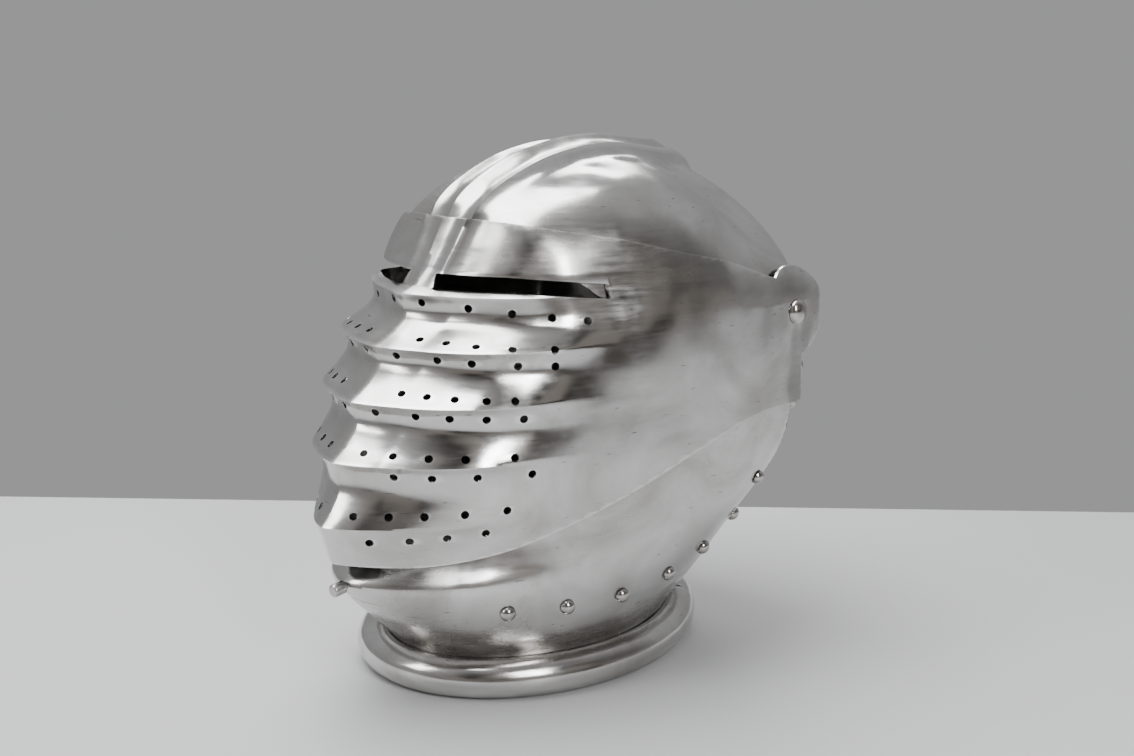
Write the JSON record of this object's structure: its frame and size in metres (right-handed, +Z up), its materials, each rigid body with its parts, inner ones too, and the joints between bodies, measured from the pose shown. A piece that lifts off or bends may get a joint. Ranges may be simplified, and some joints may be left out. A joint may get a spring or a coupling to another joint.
{
  "type": "close helmet with bellows visor",
  "caption": "Polished steel close helmet: fluted skull, pivoting bellows visor with sights and breath holes, pivoting bevor and rolled collar.",
  "frame": {"origin": "middle of the helmet's footprint box, on the surface its collar stands on", "axes": "+Z up, -Y the way the wearer looks, +X the wearer's left"},
  "size_m": [0.226, 0.309, 0.2863],
  "materials": {
    "polished_steel": "polished, slightly smudged",
    "rivet_steel": "polished, darker"
  },
  "bodies": {
    "skull_body": {"skull": "polished_steel", "collar_rear": "polished_steel", "pivot_rivet_left": "rivet_steel", "pivot_rivet_right": "rivet_steel", "neck_rivet_left_08": "rivet_steel", "neck_rivet_right_08": "rivet_steel", "neck_rivet_left_09": "rivet_steel", "neck_rivet_right_09": "rivet_steel", "neck_rivet_left_10": "rivet_steel", "neck_rivet_right_10": "rivet_steel", "neck_rivet_left_11": "rivet_steel", "neck_rivet_right_11": "rivet_steel", "neck_rivet_left_12": "rivet_steel", "neck_rivet_right_12": "rivet_steel"},
    "bevor_body": {"bevor": "polished_steel", "collar_front": "polished_steel", "chin_peg": "rivet_steel", "neck_rivet_left_01": "rivet_steel", "neck_rivet_right_01": "rivet_steel", "neck_rivet_left_02": "rivet_steel", "neck_rivet_right_02": "rivet_steel", "neck_rivet_left_03": "rivet_steel", "neck_rivet_right_03": "rivet_steel", "neck_rivet_left_04": "rivet_steel", "neck_rivet_right_04": "rivet_steel", "neck_rivet_left_05": "rivet_steel", "neck_rivet_right_05": "rivet_steel", "neck_rivet_left_06": "rivet_steel", "neck_rivet_right_06": "rivet_steel", "neck_rivet_left_07": "rivet_steel", "neck_rivet_right_07": "rivet_steel"},
    "visor_body": {"visor": "polished_steel"}
  },
  "joints": [
    {"name": "bevor_swing", "type": "hinge", "parent": "skull_body", "child": "bevor_body", "pos_m": [0, 0.1005, 0.1895], "axis": [-1, 0, 0], "range_deg": [0, 38]},
    {"name": "visor_lift", "type": "hinge", "parent": "bevor_body", "child": "visor_body", "pos_m": [0, 0.1005, 0.1895], "axis": [-1, 0, 0], "range_deg": [0, 45]}
  ]
}
